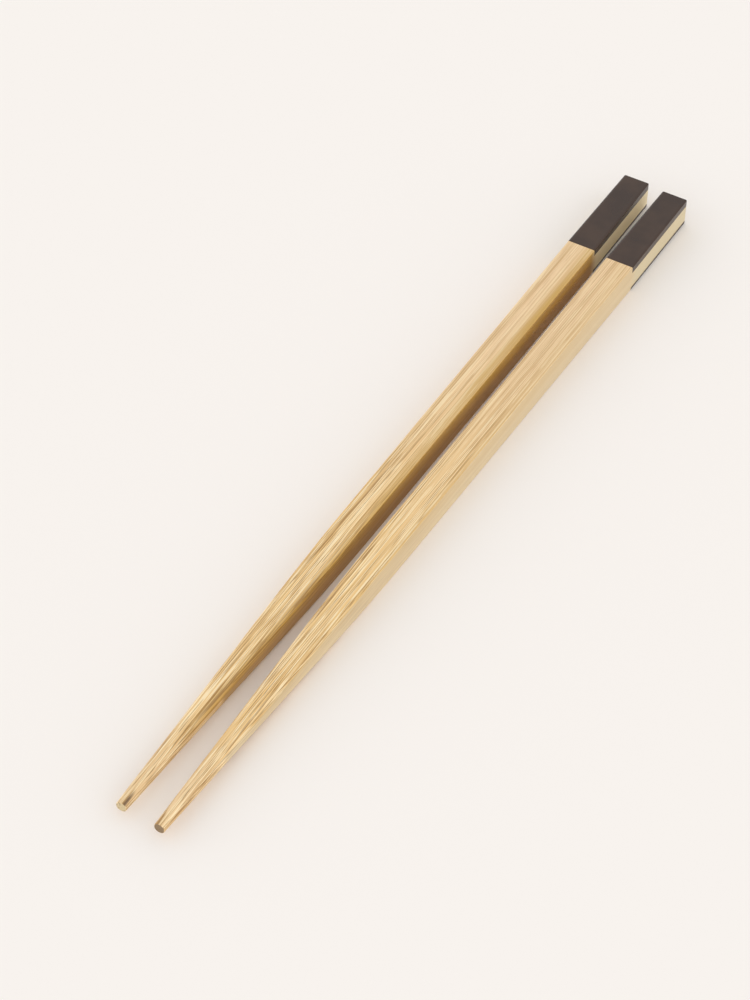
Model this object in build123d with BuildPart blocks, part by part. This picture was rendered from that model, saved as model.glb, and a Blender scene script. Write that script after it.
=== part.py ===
from build123d import *
import os
from math import asin, atan, cos, degrees, radians

# A pair of bamboo chopsticks lying side by side on a flat surface. Each stick has a square handle
# that narrows evenly, then a curved taper that runs from square to a round tip. A dark plate is let
# into the top and the bottom of each handle end, with the bamboo showing between the two.
# Millimetres, +Z up, tips towards -Y, origin on the surface under the middle of the pair.

# One stick
stick_length = 240.0
taper_length = 100.0  # curved stretch that ends in the tip
round_length = 20.0  # last stretch of the taper, round from start to end
handle_width = 7.4  # widest place, at the inner end of the plates, seen from above
end_width = 6.9  # handle end, seen from above
end_height = 7.5  # handle end, seen from the side
shoulder_width = 6.7  # across the flats where the curved taper starts
tip_width = 2.6
tip_flat = 0.25  # flat left on each side of the round stretch
long_edge_radius = 0.25
end_corner_radius = 0.4  # corners of the handle end, seen from above
tip_edge_bevel = 0.25

# Plates on the handle end
plate_length = 30.7
top_plate_thickness = 1.95
bottom_plate_thickness = 0.9

# How the pair lies
handle_spacing = 11.2  # between the two centre lines at the handle ends
tip_spacing = 10.0
right_stick_lead = 0.85  # the right stick lies this much further towards the tips

handle_length = stick_length - taper_length
blend_length = taper_length - round_length
blend_steps = 8
blend_stations = [handle_length + blend_length * (i + 1) / blend_steps for i in range(blend_steps)]
taper_stations = [*blend_stations, stick_length]
shoulder_flat = shoulder_width - 2 * long_edge_radius
flat_slope = (end_height - shoulder_width) / (2 * handle_length)
rest_tilt = degrees(atan(flat_slope))  # lean of the centre line when the underside lies flat
toe_in = degrees(asin((handle_spacing - tip_spacing) / (2 * stick_length)))


def taper_width(station):
    """Width across the flats along the taper: a parabola that leaves the handle in line with it."""
    t = (station - handle_length) / taper_length
    line_width = shoulder_width - flat_slope * taper_length
    return (1 - t) ** 2 * shoulder_width + 2 * t * (1 - t) * line_width + t**2 * tip_width


def taper_flat(station):
    """Flat left on each side along the taper, easing from the handle's to the round stretch's."""
    u = min((station - handle_length) / blend_length, 1)
    return shoulder_flat + (tip_flat - shoulder_flat) * u * u * (3 - 2 * u)


def runs_with(edge, axis):
    """True for an edge that runs about the same way as the axis."""
    return abs(edge.tangent_at(0.5).dot(axis.direction)) > 0.9


def stick_blank(butt):
    """Whole outer form of one stick, before the plate seats are cut."""
    along = Axis(butt.origin, butt.z_dir)
    upright = Axis(butt.origin, butt.y_dir)
    plan = Plane(butt.origin, x_dir=butt.x_dir, z_dir=-butt.y_dir)
    side_view = Plane(butt.origin, x_dir=butt.y_dir, z_dir=butt.x_dir)
    with BuildPart() as blank:
        with BuildSketch(side_view):
            Trapezoid(end_height, handle_length, 90 - rest_tilt, align=(Align.CENTER, Align.MIN))
        extrude(amount=handle_width, both=True)
        with BuildSketch(plan):
            with BuildLine():
                Polyline(
                    (0, 0),
                    (end_width / 2, 0),
                    (handle_width / 2, plate_length),
                    (shoulder_width / 2, handle_length),
                    (0, handle_length),
                )
                mirror(about=Plane.YZ)
            make_face()
        extrude(amount=end_height, both=True, mode=Mode.INTERSECT)
        handle_end = blank.faces().sort_by(along)[0]
        fillet(handle_end.edges().filter_by(upright), end_corner_radius)
        fillet(blank.edges().filter_by(lambda edge: runs_with(edge, along)), long_edge_radius)

        add(blank.faces().sort_by(along)[-1])
        for station in taper_stations:
            width = taper_width(station)
            with BuildSketch(butt.offset(station)):
                RectangleRounded(width, width, (width - taper_flat(station)) / 2)
        loft(ruled=True)
        tip_end = blank.faces().sort_by(along)[-1]
        chamfer(tip_end.edges(), tip_edge_bevel)
    return blank.part


def plate_slab(butt, seat, outward):
    """Slab from a plate's seat outwards, reaching past the handle's end and sides."""
    with BuildPart() as slab:
        with BuildSketch(butt):
            with Locations((0, seat)):
                Rectangle(2 * handle_width, end_height, align=(Align.CENTER, outward))
        extrude(amount=plate_length, both=True)
    return slab.part


os.makedirs("parts", exist_ok=True)
pair_end = (stick_length + right_stick_lead) / 2
for side, sign, lead in (("left", -1, 0), ("right", 1, right_stick_lead)):
    end_centre = (sign * handle_spacing / 2, pair_end - lead, end_height / 2 * cos(radians(rest_tilt)))
    across = Vector(1, 0, 0).rotate(Axis.Z, -sign * toe_in)
    towards_tip = Vector(0, -1, 0).rotate(Axis.X, rest_tilt).rotate(Axis.Z, -sign * toe_in)
    butt = Plane(end_centre, x_dir=across, z_dir=towards_tip)
    blank = stick_blank(butt)
    top_slab = plate_slab(butt, end_height / 2 - top_plate_thickness, Align.MIN)
    bottom_slab = plate_slab(butt, bottom_plate_thickness - end_height / 2, Align.MAX)

    with BuildPart() as stick:
        add(blank)
        add(top_slab, mode=Mode.SUBTRACT)
        add(bottom_slab, mode=Mode.SUBTRACT)
    stick.part.label = f"{side}_stick"

    with BuildPart() as top_plate:
        add(blank)
        add(top_slab, mode=Mode.INTERSECT)
    top_plate.part.label = f"{side}_top_plate"

    with BuildPart() as bottom_plate:
        add(blank)
        add(bottom_slab, mode=Mode.INTERSECT)
    bottom_plate.part.label = f"{side}_bottom_plate"

    for piece in (stick, top_plate, bottom_plate):
        export_step(piece.part, f"parts/{piece.part.label}.step")
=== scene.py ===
import bpy
import numpy as np
from math import cos, pi, radians, sin
from mathutils import Matrix, Vector, noise


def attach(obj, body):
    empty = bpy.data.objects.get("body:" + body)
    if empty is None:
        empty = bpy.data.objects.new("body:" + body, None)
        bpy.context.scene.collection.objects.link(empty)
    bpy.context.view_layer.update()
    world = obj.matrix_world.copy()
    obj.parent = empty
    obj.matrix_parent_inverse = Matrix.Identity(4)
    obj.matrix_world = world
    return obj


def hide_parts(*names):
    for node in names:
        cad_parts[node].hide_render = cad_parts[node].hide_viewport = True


# A pair of bamboo chopsticks on a pale floor. Where the sticks lie is read from the frame. Their sizes are
# in millimetres. A station is a distance from the handle end, and a section is given across and up from
# the stick's centre line.

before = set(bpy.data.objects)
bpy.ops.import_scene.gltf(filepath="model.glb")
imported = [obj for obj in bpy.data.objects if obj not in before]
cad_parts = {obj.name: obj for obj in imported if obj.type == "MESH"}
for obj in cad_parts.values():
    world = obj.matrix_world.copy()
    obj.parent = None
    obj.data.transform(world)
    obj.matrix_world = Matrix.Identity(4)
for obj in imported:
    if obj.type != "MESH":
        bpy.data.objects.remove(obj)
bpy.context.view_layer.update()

MM = 0.001

# One stick
STICK_LENGTH = 240.0
TAPER_LENGTH = 100.0
ROUND_LENGTH = 20.0
HANDLE_WIDTH = 7.4
END_WIDTH = 6.9
END_HEIGHT = 7.5
SHOULDER_WIDTH = 6.7
TIP_WIDTH = 2.6
TIP_FLAT = 0.25
LONG_EDGE_RADIUS = 0.25
END_CORNER_RADIUS = 0.4
TIP_EDGE_RADIUS = 0.2

# Plates on the handle end
PLATE_LENGTH = 30.7
TOP_PLATE_THICKNESS = 1.95
BOTTOM_PLATE_THICKNESS = 0.9
JOINT_BEVEL = 0.05  # eased edge where a plate meets the bamboo

HANDLE_LENGTH = STICK_LENGTH - TAPER_LENGTH
BLEND_LENGTH = TAPER_LENGTH - ROUND_LENGTH
SHOULDER_FLAT = SHOULDER_WIDTH - 2 * LONG_EDGE_RADIUS
FLAT_SLOPE = (END_HEIGHT - SHOULDER_WIDTH) / (2 * HANDLE_LENGTH)
TOP_SEAT = END_HEIGHT / 2 - TOP_PLATE_THICKNESS
BOTTOM_SEAT = BOTTOM_PLATE_THICKNESS - END_HEIGHT / 2

# Fineness of the meshes
STICK_SIDE_POINTS = 40
PLATE_SIDE_POINTS = 24
HALF_CORNER_POINTS = 9  # from the middle of a corner to its end
STATION_STEP = 0.6
END_STEPS = 8
SHARP_ANGLE = radians(40)

# Depth and spacing of the fibre grooves
HANDLE_GROOVE = 0.012
TIP_GROOVE = 0.04
GROOVE_WIDTH = 0.5
GROOVE_LENGTH = 60.0
GROOVE_START = 0.4  # share of the stick's length from which the grooves deepen
GROOVE_SEED = 31  # sets the grooves of the two sticks apart
FIBRE_DEPTH = 4.0  # depth of a fibre layer to its width, which keeps the streaks straight on the taper

END_ZONE = 0.7  # stretch at each end of the CAD from which its centre line is read


def taper_width(station):
    """Width across the flats along the taper: a parabola that leaves the handle in line with it."""
    t = (station - HANDLE_LENGTH) / TAPER_LENGTH
    line_width = SHOULDER_WIDTH - FLAT_SLOPE * TAPER_LENGTH
    return (1 - t) ** 2 * SHOULDER_WIDTH + 2 * t * (1 - t) * line_width + t**2 * TIP_WIDTH


def half_width(station):
    """Half the width from above."""
    if station > HANDLE_LENGTH:
        return taper_width(station) / 2
    stations = (0, PLATE_LENGTH, HANDLE_LENGTH)
    widths = (END_WIDTH, HANDLE_WIDTH, SHOULDER_WIDTH)
    return float(np.interp(station, stations, widths)) / 2


def half_height(station):
    """Half the height from the side."""
    if station > HANDLE_LENGTH:
        return taper_width(station) / 2
    return END_HEIGHT / 2 - FLAT_SLOPE * station


def edge_radius(station):
    """Radius of the long edges, which grows along the taper until the section is round."""
    if station < HANDLE_LENGTH:
        return LONG_EDGE_RADIUS
    u = min((station - HANDLE_LENGTH) / BLEND_LENGTH, 1)
    flat = SHOULDER_FLAT + (TIP_FLAT - SHOULDER_FLAT) * u * u * (3 - 2 * u)
    return (taper_width(station) - flat) / 2


def drawn_in(distance, radius):
    """How far a rounded end draws in at a distance from the end."""
    rest = max(radius - distance, 0)
    return radius - (radius**2 - rest**2) ** 0.5


def rounded_stations(radius):
    """Distances from a rounded end at which its rings lie."""
    return [radius * (1 - cos(pi / 2 * i / END_STEPS)) for i in range(END_STEPS)]


def even_stations(start, end):
    """Stations about a step apart, without the last."""
    return list(np.linspace(start, end, round((end - start) / STATION_STEP), endpoint=False))


def side_run(start, end, start_radius, end_radius, count):
    """Evenly spaced points along one side, from the middle of a corner to the middle of the next.
    The side runs from start to end along its own line; each point is (along the line, out from it)."""
    turn = np.linspace(pi / 4, pi / 2, HALF_CORNER_POINTS)
    first_along = start + start_radius * (1 - np.cos(turn))
    first_out = start_radius * (np.sin(turn) - 1)
    last_along = end - end_radius * (1 - np.cos(turn[::-1]))
    last_out = end_radius * (np.sin(turn[::-1]) - 1)
    along = np.concatenate([first_along, last_along])
    out = np.concatenate([first_out, last_out])
    steps = np.hypot(np.diff(along), np.diff(out))
    reach = np.concatenate([[0], np.cumsum(steps)])
    wanted = np.linspace(0, reach[-1], count, endpoint=False)
    return np.interp(wanted, reach, along), np.interp(wanted, reach, out)


def section(half, low, high, low_radius, high_radius, count):
    """Closed loop of a rounded rectangle, anticlockwise from the lower right corner, as (across, up)."""
    along, out = side_run(low, high, low_radius, high_radius, count)
    right = np.column_stack([half + out, along])
    along, out = side_run(-half, half, high_radius, high_radius, count)
    top = np.column_stack([-along, high + out])
    along, out = side_run(-high, -low, high_radius, low_radius, count)
    left = np.column_stack([-half - out, -along])
    along, out = side_run(-half, half, low_radius, low_radius, count)
    bottom = np.column_stack([along, low - out])
    return np.concatenate([right, top, left, bottom])


def stick_rings():
    """Rings of a bamboo stick from the handle end to the tip, with the plates' seats left open."""
    rings = []
    tongue = even_stations(END_CORNER_RADIUS, PLATE_LENGTH)
    for station in (*rounded_stations(END_CORNER_RADIUS), *tongue, PLATE_LENGTH):
        half = half_width(station) - drawn_in(station, END_CORNER_RADIUS)
        loop = section(half, BOTTOM_SEAT, TOP_SEAT, JOINT_BEVEL, JOINT_BEVEL, STICK_SIDE_POINTS)
        rings.append((station, loop))
    tip_stations = [STICK_LENGTH - distance for distance in reversed(rounded_stations(TIP_EDGE_RADIUS))]
    body_end = STICK_LENGTH - TIP_EDGE_RADIUS
    for station in (*even_stations(PLATE_LENGTH + JOINT_BEVEL, body_end), body_end, *tip_stations):
        inset = drawn_in(STICK_LENGTH - station, TIP_EDGE_RADIUS)
        half, height = half_width(station) - inset, half_height(station) - inset
        radius = edge_radius(station) - inset
        rings.append((station, section(half, -height, height, radius, radius, STICK_SIDE_POINTS)))
    return rings


def plate_rings(seat, outward):
    """Rings of a plate from the handle end to its inner end. Outward is 1 for the top, -1 for the bottom."""
    rings = []
    inner_stations = [PLATE_LENGTH - distance for distance in reversed(rounded_stations(JOINT_BEVEL))]
    inner_start = PLATE_LENGTH - JOINT_BEVEL
    body = even_stations(END_CORNER_RADIUS, inner_start)
    for station in (*rounded_stations(END_CORNER_RADIUS), *body, inner_start, *inner_stations):
        bevel = drawn_in(PLATE_LENGTH - station, JOINT_BEVEL)
        half = half_width(station) - drawn_in(station, END_CORNER_RADIUS) - bevel
        face = outward * (half_height(station) - drawn_in(station, LONG_EDGE_RADIUS) - bevel)
        low, high = sorted((seat, face))
        radii = (JOINT_BEVEL, LONG_EDGE_RADIUS)[::outward]
        rings.append((station, section(half, low, high, *radii, PLATE_SIDE_POINTS)))
    return rings


def groove(rings, seed):
    """Sinks fine fibre grooves into the rings, deeper towards the tip where the taper cuts the fibres."""
    for station, loop in rings:
        tipwards = max(station / STICK_LENGTH - GROOVE_START, 0) / (1 - GROOVE_START)
        depth = HANDLE_GROOVE + (TIP_GROOVE - HANDLE_GROOVE) * tipwards
        tangent = np.roll(loop, -1, axis=0) - np.roll(loop, 1, axis=0)
        normal = np.column_stack([tangent[:, 1], -tangent[:, 0]])
        normal /= np.linalg.norm(normal, axis=1)[:, None]
        along = station / GROOVE_LENGTH
        deep = GROOVE_WIDTH * FIBRE_DEPTH
        spots = [Vector((x / GROOVE_WIDTH + seed, along, y / deep)) for x, y in loop]
        sink = np.array([0.5 + 0.5 * noise.noise(spot) for spot in spots])
        loop -= normal * (depth * sink)[:, None]
    return rings


def centre_line(side):
    """Middle of the handle end and of the tip of one stick, read from its CAD nodes."""
    nodes = [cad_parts[f"{side}_{piece}"] for piece in ("stick", "top_plate", "bottom_plate")]
    points = np.array([vertex.co for cad in nodes for vertex in cad.data.vertices])
    ends = []
    for y in (points[:, 1].max(), points[:, 1].min()):
        zone = points[np.abs(points[:, 1] - y) < END_ZONE * MM]
        middle = (zone.min(0) + zone.max(0)) / 2
        ends.append(Vector((middle[0], y, middle[2])))
    return ends


def added(name, data):
    """A new object in the scene."""
    made = bpy.data.objects.new(name, data)
    bpy.context.scene.collection.objects.link(made)
    return made


def stick_axes(end, tip):
    """Directions across, up and along a stick, as rows."""
    along = (tip - end).normalized()
    across = Vector((0, 0, 1)).cross(along).normalized()
    return np.array([across, along.cross(across), along])


def tube_faces(ring_count, count):
    """Faces between rings of points, closed by fans round the middles of both ends, the last two points."""
    faces = []
    for ring in range(ring_count - 1):
        a, b = ring * count, (ring + 1) * count
        for i in range(count):
            j = (i + 1) % count
            faces.append((a + i, a + j, b + j, b + i))
    last = (ring_count - 1) * count
    for i in range(count):
        j = (i + 1) % count
        faces.append((j, i, last + count))
        faces.append((last + i, last + j, last + count + 1))
    return faces


def tube(name, rings, line):
    """Closed mesh through rings of points along a stick's centre line."""
    end, tip = line
    count = len(rings[0][1])
    points = [np.column_stack([loop, np.full(count, station)]) for station, loop in rings]
    middles = [np.mean(points[0], axis=0), np.mean(points[-1], axis=0)]
    world = np.concatenate([*points, middles]) @ stick_axes(end, tip) * MM + np.array(end)
    mesh = bpy.data.meshes.new(name)
    mesh.from_pydata(world.tolist(), [], tube_faces(len(rings), count))
    mesh.validate()
    mesh.shade_smooth()
    mesh.set_sharp_from_angle(angle=SHARP_ANGLE)
    return added(name, mesh)


def feed(tree, socket, value):
    """Links a socket to another one, or sets it to a value."""
    if isinstance(value, bpy.types.NodeSocket):
        tree.links.new(value, socket)
    else:
        socket.default_value = value


def node(tree, kind, inputs=None, **settings):
    """Adds a shader node, with its settings, and its inputs given as values or as sockets to link."""
    made = tree.nodes.new(kind)
    for setting, value in settings.items():
        setattr(made, setting, value)
    for key, value in (inputs or {}).items():
        feed(tree, made.inputs[key], value)
    return made


def computed(tree, operation, *values):
    """Result of a calculation on one or two values."""
    return node(tree, "ShaderNodeMath", dict(enumerate(values)), operation=operation).outputs[0]


def product(tree, *values):
    """All the values multiplied together."""
    total = values[0]
    for value in values[1:]:
        total = computed(tree, "MULTIPLY", total, value)
    return total


def ranged(tree, value, low, high, to_low=0.0, to_high=1.0):
    """Maps a value smoothly from one range to another, held at both ends."""
    inputs = {"Value": value, "From Min": low, "From Max": high, "To Min": to_low, "To Max": to_high}
    return node(tree, "ShaderNodeMapRange", inputs, interpolation_type="SMOOTHSTEP").outputs["Result"]


def mixed(tree, factor, first, second):
    """Mix of two colours."""
    inputs = {"Factor": factor, "A": first, "B": second}
    made = node(tree, "ShaderNodeMix", data_type="RGBA")
    for socket in made.inputs:
        if socket.enabled and socket.name in inputs:
            feed(tree, socket, inputs[socket.name])
    return next(socket for socket in made.outputs if socket.enabled)


def parts_of(tree, kind, output):
    """The X, Y and Z of a coordinate."""
    source = node(tree, kind)
    return node(tree, "ShaderNodeSeparateXYZ", {"Vector": source.outputs[output]}).outputs


def new_material(name):
    """An empty material with a Principled shader, and its tree and shader."""
    material = bpy.data.materials.new(name)
    material.use_nodes = True
    return material, material.node_tree, material.node_tree.nodes["Principled BSDF"]


# Colours, linear
CREAM = (0.835, 0.59, 0.335, 1)
TAN = (0.69, 0.465, 0.235, 1)
WARM_TAN = (0.84, 0.55, 0.215, 1)
STREAK_DARK = (0.57, 0.345, 0.135, 1)
STREAK_LIGHT = (0.95, 0.76, 0.465, 1)
FIBRE_BROWN = (0.40, 0.215, 0.062, 1)
BUNDLE_BROWN = (0.25, 0.115, 0.028, 1)
TIP_MARK = (0.12, 0.05, 0.012, 1)
GOLD = (0.56, 0.33, 0.065, 1)
# Painted shade: the left stick's wall facing the gap between the sticks, darkened to stand for the shade
# that falls in the gap
GAP_WALL_PAINTED_SHADE = (0.39, 0.22, 0.075, 1)
PALE_SIDE = (0.66, 0.53, 0.335, 1)
# Painted light: a lighter copy of the strip's own dull colour, on the left stick's side that faces the gap,
# standing for light that reaches into the gap
GAP_STRIP_PAINTED_LIGHT = (0.90, 0.78, 0.52, 1)
DULL_STRIP = (0.64, 0.54, 0.345, 1)
PALE_END = (0.62, 0.49, 0.28, 1)
BROWN_END = (0.25, 0.165, 0.085, 1)
END_DOTS = (0.20, 0.11, 0.04, 1)
PLATE_DARK = (0.031, 0.013, 0.0055, 1)
PLATE_LIGHT = (0.047, 0.021, 0.009, 1)
FLOOR_COLOUR = (0.939, 0.896, 0.855, 1)
WHITE = (1, 1, 1, 1)

# How the two sticks differ: the part of the noise that they show, where their golden edge lies across
# the pair and how strong it is, the station where their right face's colour ends (a smooth pale face on the
# right stick, painted shade on the left stick's wall in the gap), and some colours, among them painted
# light on the left stick's strip where it faces the gap
LOOKS = {
    "left": dict(
        shift=(0, 0, 0),
        edge=-1.9,
        edge_strength=0.9,
        side_until=205,
        # painted shade on the left stick's wall in the gap
        side_tone_or_painted_shade=GAP_WALL_PAINTED_SHADE,
        # painted light on the left stick's strip where it faces the gap
        strip_tone_or_painted_light=GAP_STRIP_PAINTED_LIGHT,
        tip_colour=PALE_END,
    ),
    "right": dict(
        shift=(31, 17, 5),
        edge=8.9,
        edge_strength=0.25,
        side_until=219,
        side_tone_or_painted_shade=PALE_SIDE,
        strip_tone_or_painted_light=DULL_STRIP,
        tip_colour=BROWN_END,
    ),
}

# Kinds of streaks, with the noise levels between which they rise, and what they rise from if not from 0
BANDS = dict(width=1.7, length=200, low=0.36, high=0.64)
BROAD_STREAKS = dict(width=0.42, length=80, low=0.50, high=0.62)
BUNDLES = dict(width=0.26, length=9, low=0.62, high=0.69)
EDGE_BUNDLES = dict(width=0.28, length=14, low=0.48, high=0.56)
GOLD_PATCHES = dict(width=2.2, length=50, low=0.40, high=0.58, least=0.55)
LINES = dict(length=55, low=0.51, high=0.57, detail=0.0)
LINE_BREAKS = dict(length=9, low=0.42, high=0.54, least=0.3)
DARK_LINE_WIDTH = 0.22
LIGHT_LINE_WIDTH = 0.19
SURFACE_FIBRES = dict(width=0.25, length=36)

# How strongly streaks show. Of two values, the first is for the handle and the second for the taper.
STREAK_STRENGTH = 0.32
DARK_LINE_STRENGTH = (0.30, 1.0)
LIGHT_LINE_STRENGTH = (0.58, 1.0)

# Stretches over which the look of a stick changes: two stations, and the values there if not 0 and 1
TAPER_LOOK = dict(first=45, last=175)
WARM_LOOK = dict(first=60, last=165, at_last=0.85)
TIP_LOOK = dict(first=205, last=230, at_first=1, at_last=0.25)
BUNDLES_SHOW = dict(first=140, last=215, at_last=0.54)
EDGE_BUNDLES_SHOW = dict(first=105, last=150, at_last=0.8)
GOLD_SHOWS = dict(first=224, last=206)
GOLD_DRIFT = dict(first=160, last=240, at_last=1.6 * MM)  # inwards, as the stick tapers
GOLD_SPREAD = dict(first=175, last=75)
TIP_MARK_SHOWS = dict(first=234.8, last=238.2)

# The golden band along an edge
GOLD_NARROW = 1.6
GOLD_WIDE = 3.8
GOLD_RIM = 0.2  # all gold this close to the edge
GOLD_HEIGHTS = (2.5, 5.0)  # fades in between these heights

# Faces, by how far their normal leans towards an axis
SIDE_FACING = 0.72  # beyond this, fibres lie side by side in height
FLAT_SIDE = (0.86, 0.98)
LEFT_TO_RIGHT = (-0.5, 0.5)
CUT_END = (0.8, 0.95)
SIDE_STRENGTH = 0.8
SIDE_FADE = 3
STRIP_STRENGTH = 0.9
STRIP_FADE = 2

# The mark on the left tip, across the pair and in height
TIP_MARK_LEFT = (-4.75, -4.35)
TIP_MARK_RIGHT = (-3.85, -4.1)
TIP_MARK_HEIGHTS = (3.2, 3.5)
TIP_MARK_STRENGTH = 0.85

# Dots of the fibre bundles in the cut ends
DOT_SPACING = 0.6
DOT_RIM = (0.42, 0.22)  # share of the spacing from a dot's middle
DOT_STRENGTH = 0.6

# Surfaces
NOISE_SPAN = (0.3, 0.7)  # levels that noise keeps between, nearly everywhere
BAMBOO_ROUGHNESS = (0.44, 0.58)
BAMBOO_BUMP = 0.25
BAMBOO_BUMP_DEPTH = 0.1
PLATE_ROUGHNESS = (0.16, 0.26)
PLATE_IOR = 1.44
CLOUDS_PER_METRE = 130.0
CLOUD_DETAIL = 2.0

PAIR_END = 120.4  # station 0 along the pair, in the frame


def at_station(station):
    """Place along the pair of a distance from the handle ends."""
    return (PAIR_END - station) * MM


def along_stick(tree, place, first, last, at_first=0.0, at_last=1.0):
    """Value that changes smoothly from one station to another, held beyond them."""
    return ranged(tree, place["Y"], at_station(first), at_station(last), at_first, at_last)


def between(tree, coordinate, start, end):
    """Goes smoothly from 0 to 1 as a coordinate goes from start to end."""
    return ranged(tree, coordinate, start * MM, end * MM)


def fibre_space(tree, place, normal):
    """Coordinates across, along and into a face of the stick, whose fibres lie side by side across it."""
    sideways = computed(tree, "ABSOLUTE", normal["X"])
    on_side = computed(tree, "GREATER_THAN", sideways, SIDE_FACING)
    across = node(tree, "ShaderNodeMix", {"Factor": on_side, "A": place["X"], "B": place["Z"]})
    into = node(tree, "ShaderNodeMix", {"Factor": on_side, "A": place["Z"], "B": place["X"]})
    parts = {"X": across.outputs["Result"], "Y": place["Y"], "Z": into.outputs["Result"]}
    return node(tree, "ShaderNodeCombineXYZ", parts).outputs["Vector"]


def fibre_noise(tree, space, shift, width, length, detail=1.0):
    """Noise drawn out along the stick, with the width and length of a streak."""
    scale = (1 / (width * MM), 1 / (length * MM), 1 / (width * FIBRE_DEPTH * MM))
    inputs = {"Vector": space, "Scale": scale, "Location": shift}
    vector = node(tree, "ShaderNodeMapping", inputs).outputs["Vector"]
    inputs = {"Vector": vector, "Scale": 1.0, "Detail": detail}
    return node(tree, "ShaderNodeTexNoise", inputs).outputs["Fac"]


def streaks(tree, space, shift, width, length, low, high, least=0.0, detail=1.0):
    """How much of a kind of streak shows."""
    return ranged(tree, fibre_noise(tree, space, shift, width, length, detail), low, high, least)


def fine_lines(tree, space, shift, width):
    """Thin straight fibres, broken along their length."""
    lines = streaks(tree, space, shift, width, **LINES)
    breaks = streaks(tree, space, shift, 2 * width, **LINE_BREAKS)
    return product(tree, lines, breaks)


def fibre_ground(tree, place, space, shift):
    """Cream and tan bands along the stick, warmer on the taper."""
    colour = mixed(tree, streaks(tree, space, shift, **BANDS), TAN, CREAM)
    warmth = along_stick(tree, place, **WARM_LOOK)
    fade = along_stick(tree, place, **TIP_LOOK)
    return mixed(tree, product(tree, warmth, fade), colour, WARM_TAN)


def streaked(tree, colour, place, space, shift):
    """Broader streaks and fine dark and light lines, which stand out more on the taper."""
    taperness = along_stick(tree, place, **TAPER_LOOK)
    broad = product(tree, streaks(tree, space, shift, **BROAD_STREAKS), STREAK_STRENGTH)
    colour = mixed(tree, broad, colour, STREAK_DARK)
    for width, strength, line_colour in (
        (DARK_LINE_WIDTH, DARK_LINE_STRENGTH, FIBRE_BROWN),
        (LIGHT_LINE_WIDTH, LIGHT_LINE_STRENGTH, STREAK_LIGHT),
    ):
        lines = fine_lines(tree, space, shift, width)
        shown = product(tree, lines, ranged(tree, taperness, 0, 1, *strength))
        colour = mixed(tree, shown, colour, line_colour)
    return colour


def bundle_dashes(tree, place, space, shift):
    """How much of a brown fibre bundle shows, in short dashes near the tip."""
    return product(tree, streaks(tree, space, shift, **BUNDLES), along_stick(tree, place, **BUNDLES_SHOW))


def golden_edge(tree, place, space, shift, edge, strength):
    """How golden the upper right edge is, in patches along it, in a band that is broader at the handle."""
    across = computed(tree, "ADD", place["X"], along_stick(tree, place, **GOLD_DRIFT))
    narrow, wide = (edge - GOLD_NARROW) * MM, (edge - GOLD_WIDE) * MM
    start = along_stick(tree, place, **GOLD_SPREAD, at_first=narrow, at_last=wide)
    near = ranged(tree, across, start, (edge - GOLD_RIM) * MM)
    high = between(tree, place["Z"], *GOLD_HEIGHTS)
    patches = streaks(tree, space, shift, **GOLD_PATCHES)
    return product(tree, near, high, patches, along_stick(tree, place, **GOLD_SHOWS), strength)


def edge_dashes(tree, place, space, shift):
    """Brown fibre bundles that the golden edge lays bare on the taper."""
    dashes = streaks(tree, space, shift, **EDGE_BUNDLES)
    return product(tree, dashes, along_stick(tree, place, **EDGE_BUNDLES_SHOW))


def right_face(tree, place, normal, last_station):
    """How much of the right face takes the stick's side colour, up to the last station: its own smooth pale
    face on the right stick, painted shade on the left stick's wall in the gap.
    """
    facing = ranged(tree, normal["X"], *FLAT_SIDE)
    kept = along_stick(tree, place, last_station, last_station - SIDE_FADE)
    return product(tree, facing, kept, SIDE_STRENGTH)


def strip_sides(tree, place, normal):
    """How much of the pale strip between the plates shows, on both sides; on the left stick's side facing
    the gap it carries painted light.
    """
    facing = ranged(tree, computed(tree, "ABSOLUTE", normal["X"]), *FLAT_SIDE)
    kept = along_stick(tree, place, PLATE_LENGTH + STRIP_FADE, PLATE_LENGTH - STRIP_FADE)
    return product(tree, facing, kept, STRIP_STRENGTH)


def tip_mark(tree, place):
    """How much of the short brown mark on the upper right of the left tip shows."""
    right = between(tree, place["X"], *TIP_MARK_LEFT)
    inner = between(tree, place["X"], *TIP_MARK_RIGHT)
    start = along_stick(tree, place, **TIP_MARK_SHOWS)
    high = between(tree, place["Z"], *TIP_MARK_HEIGHTS)
    return product(tree, right, inner, start, high, TIP_MARK_STRENGTH)


def end_grain(tree, place, tip_colour):
    """Cut ends of the stick, pale at the handle, with the dots of the fibre bundles."""
    handlewards = along_stick(tree, place, STICK_LENGTH, 0)
    colour = mixed(tree, handlewards, tip_colour, PALE_END)
    coords = node(tree, "ShaderNodeTexCoord")
    inputs = {"Vector": coords.outputs["Object"], "Scale": 1 / (DOT_SPACING * MM)}
    distance = node(tree, "ShaderNodeTexVoronoi", inputs).outputs["Distance"]
    return mixed(tree, ranged(tree, distance, *DOT_RIM, 0, DOT_STRENGTH), colour, END_DOTS)


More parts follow.
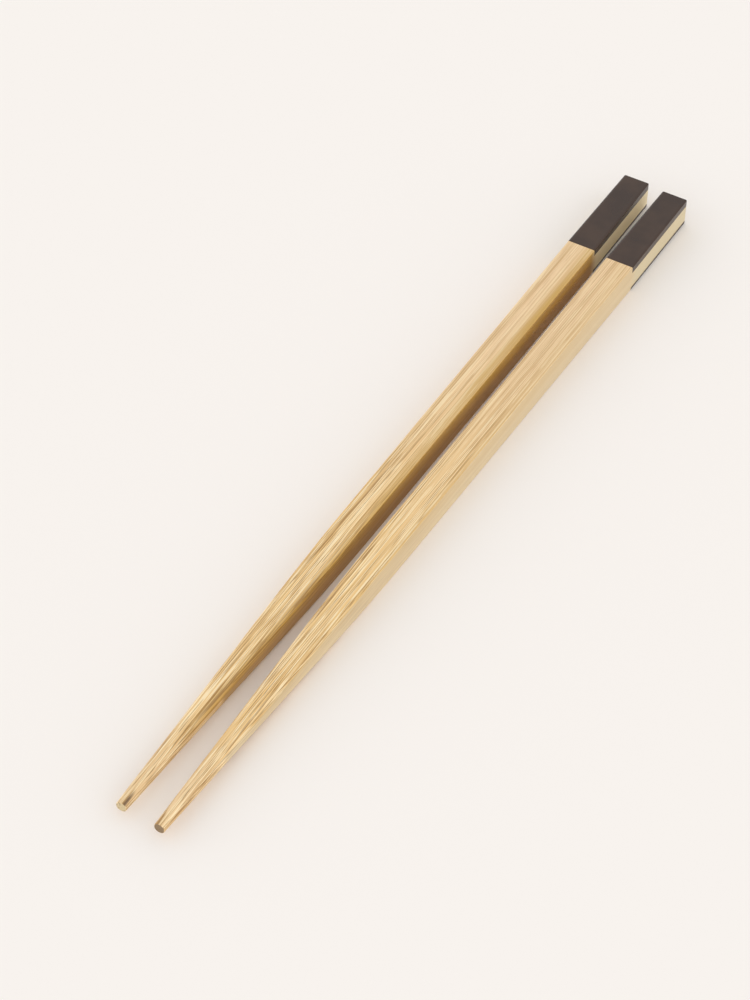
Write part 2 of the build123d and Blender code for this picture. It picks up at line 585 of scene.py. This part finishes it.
def bamboo_colour(tree, place, normal, space, look):
    """Colour of a stick: its fibres, and the layers over them, among them painted shade and painted light on
    the left stick's side in the gap.
    """
    shift = look["shift"]
    colour = streaked(tree, fibre_ground(tree, place, space, shift), place, space, shift)
    colour = mixed(tree, bundle_dashes(tree, place, space, shift), colour, BUNDLE_BROWN)
    # On the right stick the right face takes its own smooth pale colour; on the left stick this paints shade
    # on its wall in the gap
    side_or_painted_shade = right_face(tree, place, normal, look["side_until"])
    colour = mixed(tree, side_or_painted_shade, colour, look["side_tone_or_painted_shade"])
    gold = golden_edge(tree, place, space, shift, look["edge"], look["edge_strength"])
    colour = mixed(tree, gold, colour, GOLD)
    bare = product(tree, gold, edge_dashes(tree, place, space, shift))
    colour = mixed(tree, bare, colour, BUNDLE_BROWN)
    # The strip keeps its own dull colour, but the left stick's side facing the gap gets painted light
    strip = mixed(tree, ranged(tree, normal["X"], *LEFT_TO_RIGHT), DULL_STRIP, look["strip_tone_or_painted_light"])
    colour = mixed(tree, strip_sides(tree, place, normal), colour, strip)
    colour = mixed(tree, tip_mark(tree, place), colour, TIP_MARK)
    cut = ranged(tree, computed(tree, "ABSOLUTE", normal["Y"]), *CUT_END)
    return mixed(tree, cut, colour, end_grain(tree, place, look["tip_colour"]))


def bamboo(name, look):
    """Fine straight bamboo fibres."""
    material, tree, shader = new_material(name)
    place = parts_of(tree, "ShaderNodeTexCoord", "Object")
    normal = parts_of(tree, "ShaderNodeNewGeometry", "Normal")
    space = fibre_space(tree, place, normal)
    tree.links.new(bamboo_colour(tree, place, normal, space, look), shader.inputs["Base Color"])
    fibres = fibre_noise(tree, space, look["shift"], **SURFACE_FIBRES)
    inputs = {"Height": fibres, "Strength": BAMBOO_BUMP, "Distance": BAMBOO_BUMP_DEPTH * MM}
    tree.links.new(node(tree, "ShaderNodeBump", inputs).outputs["Normal"], shader.inputs["Normal"])
    tree.links.new(ranged(tree, fibres, *NOISE_SPAN, *BAMBOO_ROUGHNESS), shader.inputs["Roughness"])
    return material


def dark_plate():
    """Polished dark brown with a faint cloudiness."""
    material, tree, shader = new_material("dark_plate")
    coords = node(tree, "ShaderNodeTexCoord")
    inputs = {"Vector": coords.outputs["Object"], "Scale": CLOUDS_PER_METRE, "Detail": CLOUD_DETAIL}
    clouds = node(tree, "ShaderNodeTexNoise", inputs).outputs["Fac"]
    colour = mixed(tree, ranged(tree, clouds, *NOISE_SPAN), PLATE_DARK, PLATE_LIGHT)
    tree.links.new(colour, shader.inputs["Base Color"])
    tree.links.new(ranged(tree, clouds, *NOISE_SPAN, *PLATE_ROUGHNESS), shader.inputs["Roughness"])
    shader.inputs["IOR"].default_value = PLATE_IOR
    return material


def add_pieces():
    """Bamboo and plates of both sticks, in place of the plain solids."""
    plate_material = dark_plate()
    bamboos = {side: bamboo(f"{side}_bamboo", look) for side, look in LOOKS.items()}
    for number, (side, bamboo_material) in enumerate(bamboos.items()):
        line = centre_line(side)
        stick = tube(f"{side}_bamboo", groove(stick_rings(), GROOVE_SEED * number), line)
        top = tube(f"{side}_top_inlay", plate_rings(TOP_SEAT, 1), line)
        bottom = tube(f"{side}_bottom_inlay", plate_rings(BOTTOM_SEAT, -1), line)
        for piece, cad_node, slot, material in (
            (stick, "stick", "bamboo", bamboo_material),
            (top, "top_plate", "dark_plate", plate_material),
            (bottom, "bottom_plate", "dark_plate", plate_material),
        ):
            piece.data.materials.append(material)
            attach(piece, "root")
            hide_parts(f"{side}_{cad_node}")


# Camera, as fitted to the photograph, with lengths in metres
CAMERA_AZIMUTH = radians(28.703)
CAMERA_ELEVATION = radians(44.119)
CAMERA_ROLL = radians(1.958)
CAMERA_DISTANCE = 778.70 * MM
CAMERA_TARGET = Vector((-7.410, -8.893, 0)) * MM
FOCAL_PIXELS = 3366.71
FRAME_HEIGHT_PIXELS = 1000
CLIP_START = 0.01
CLIP_END = 20


def add_camera():
    """Camera at the photograph's viewing angle."""
    data = bpy.data.cameras.new("camera")
    data.lens = data.sensor_width * FOCAL_PIXELS / FRAME_HEIGHT_PIXELS
    data.clip_start = CLIP_START
    data.clip_end = CLIP_END
    camera = added("camera", data)
    back = Vector((sin(CAMERA_AZIMUTH), -cos(CAMERA_AZIMUTH), 0)) * cos(CAMERA_ELEVATION)
    back.z = sin(CAMERA_ELEVATION)
    level = Vector((0, 0, 1)).cross(back).normalized()
    rise = back.cross(level)
    right = level * cos(CAMERA_ROLL) + rise * sin(CAMERA_ROLL)
    matrix = Matrix((right, back.cross(right), back)).transposed().to_4x4()
    matrix.translation = CAMERA_TARGET + back * CAMERA_DISTANCE
    camera.matrix_world = matrix
    bpy.context.scene.camera = camera


# Floor, in metres, and light
FLOOR_SIZE = 8.0
FLOOR_DROP = 0.00002  # keeps the floor just clear of the undersides
FLOOR_ROUGHNESS = 0.9
ZENITH_STRENGTH = 0.65
HORIZON_STRENGTH = 1.7
BACKDROP_STRENGTH = 1.0


def add_floor():
    """Plain pale floor."""
    half = FLOOR_SIZE / 2
    outline = ((-half, -half), (half, -half), (half, half), (-half, half))
    mesh = bpy.data.meshes.new("floor")
    mesh.from_pydata([(x, y, -FLOOR_DROP) for x, y in outline], [], [(0, 1, 2, 3)])
    floor = added("floor", mesh)
    material, _, shader = new_material("floor")
    shader.inputs["Base Color"].default_value = FLOOR_COLOUR
    shader.inputs["Roughness"].default_value = FLOOR_ROUGHNESS
    shader.inputs["Specular IOR Level"].default_value = 0.0
    mesh.materials.append(material)


def add_light():
    """Soft light from all round, stronger from the sides than from above, before a pale backdrop."""
    world = bpy.data.worlds.new("world")
    world.use_nodes = True
    tree = world.node_tree
    background = tree.nodes["Background"]
    height = parts_of(tree, "ShaderNodeTexCoord", "Generated")["Z"]
    inputs = {"Value": height, "To Min": HORIZON_STRENGTH, "To Max": ZENITH_STRENGTH}
    glow = node(tree, "ShaderNodeMapRange", inputs).outputs["Result"]
    seen = node(tree, "ShaderNodeLightPath").outputs["Is Camera Ray"]
    inputs = {"Value": seen, "To Min": glow, "To Max": BACKDROP_STRENGTH}
    strength = node(tree, "ShaderNodeMapRange", inputs).outputs["Result"]
    tree.links.new(strength, background.inputs["Strength"])
    tree.links.new(mixed(tree, seen, WHITE, FLOOR_COLOUR), background.inputs["Color"])
    bpy.context.scene.world = world


add_pieces()
add_floor()
add_light()
add_camera()
bpy.context.scene.view_settings.view_transform = "Standard"
